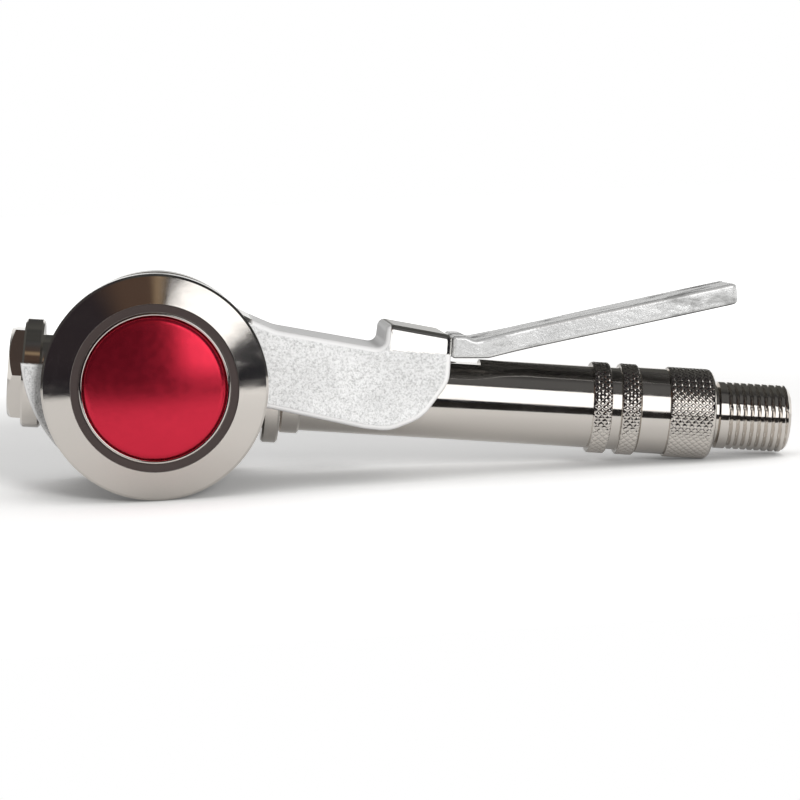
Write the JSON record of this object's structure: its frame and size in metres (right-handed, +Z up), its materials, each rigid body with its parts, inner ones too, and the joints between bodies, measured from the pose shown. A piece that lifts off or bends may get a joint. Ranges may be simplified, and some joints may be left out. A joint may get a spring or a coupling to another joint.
{
  "type": "tire inflator",
  "caption": "Hand-held lever air-line tyre inflator: plated barrel with knurled swivel inlet, cast finger lever, round head with red bleed button and a dial gauge behind it",
  "frame": {"origin": "on the bench, under the middle of the part as it lies on the ring's rim, the gauge bezel's rim and the swivel band", "axes": "+X runs along the part towards the inlet nipple, +Y from the button side to the gauge side, +Z up; the barrel dips about 6.5 degrees towards the inlet"},
  "size_m": [0.1548, 0.0502, 0.0433],
  "materials": {
    "nickel": "bright nickel plate",
    "cast_nickel": "shot-blasted die casting, plated",
    "red_anodised": "satin red anodised",
    "brass": "turned",
    "steel": "bright",
    "rubber": "moulded",
    "nylon": "turned nylon",
    "bronze": "sintered",
    "black_steel": "black",
    "dial_white": "printed white",
    "lens_glass": "clear"
  },
  "bodies": {
    "housing": {"valve_body": "nickel", "body_casting": "cast_nickel", "union_nut": "nickel", "barrel_tube": "nickel", "saddle_pins": "steel", "outlet_collar": "nickel", "outlet_fitting": "nickel", "outlet_seal": "rubber", "head_ring": "nickel", "ring_screws": "steel", "button_retainer": "nickel", "bleed_seal": "rubber", "valve_seat": "nylon", "valve_cage": "brass", "stem_seal": "rubber", "gland_nut": "brass", "lever_pin": "steel", "knurled_sleeve": "nickel", "swivel_clip": "steel", "gauge_case": "nickel", "case_screws": "steel", "gauge_bezel": "nickel", "gauge_lens": "lens_glass", "dial_plate": "dial_white", "gauge_socket": "brass", "bourdon_tube": "bronze", "movement_frame": "brass"},
    "lever": {"lever": "cast_nickel"},
    "valve_stem": {"valve_stem": "steel", "poppet_spring": "steel"},
    "bleed_button": {"bleed_button": "red_anodised", "bleed_pin": "brass", "bleed_spring": "steel"},
    "pointer": {"pointer": "black_steel", "pointer_arbor": "steel"},
    "inlet_swivel": {"inlet_swivel": "nickel", "swivel_seal": "rubber", "inlet_filter": "bronze"}
  },
  "joints": [
    {"name": "lever_press", "type": "hinge", "parent": "housing", "child": "lever", "pos_m": [0.00288, -0.00146, 0.02609], "axis": [-0.0024, 0.9998, -0.0208], "range_deg": [0, 8], "stiffness_Nm_per_rad": 2, "springref_deg": -5.73},
    {"name": "stem_push", "type": "slide", "parent": "housing", "child": "valve_stem", "axis": [-0.1138, -0.0209, -0.9933], "range_m": [0, 0.000856]},
    {"name": "button_press", "type": "slide", "parent": "housing", "child": "bleed_button", "axis": [-0.0024, 0.9998, -0.0208], "range_m": [0, 0.0015], "stiffness_N_per_m": 1500, "springref_m": -0.002},
    {"name": "pointer_sweep", "type": "hinge", "parent": "housing", "child": "pointer", "pos_m": [-0.04825, 0.01962, 0.02088], "axis": [0.0024, -0.9998, 0.0208], "range_deg": [0, 270], "stiffness_Nm_per_rad": 0.0002, "springref_deg": -17.19},
    {"name": "inlet_turn", "type": "hinge", "parent": "housing", "child": "inlet_swivel", "pos_m": [0.04644, -0.00168, 0.01049], "axis": [0.9935, 0, -0.1138], "continuous": true}
  ],
  "couplings": [
    {"joint": "stem_push", "follows": "lever_press", "m_per_rad": 0.0060618}
  ]
}
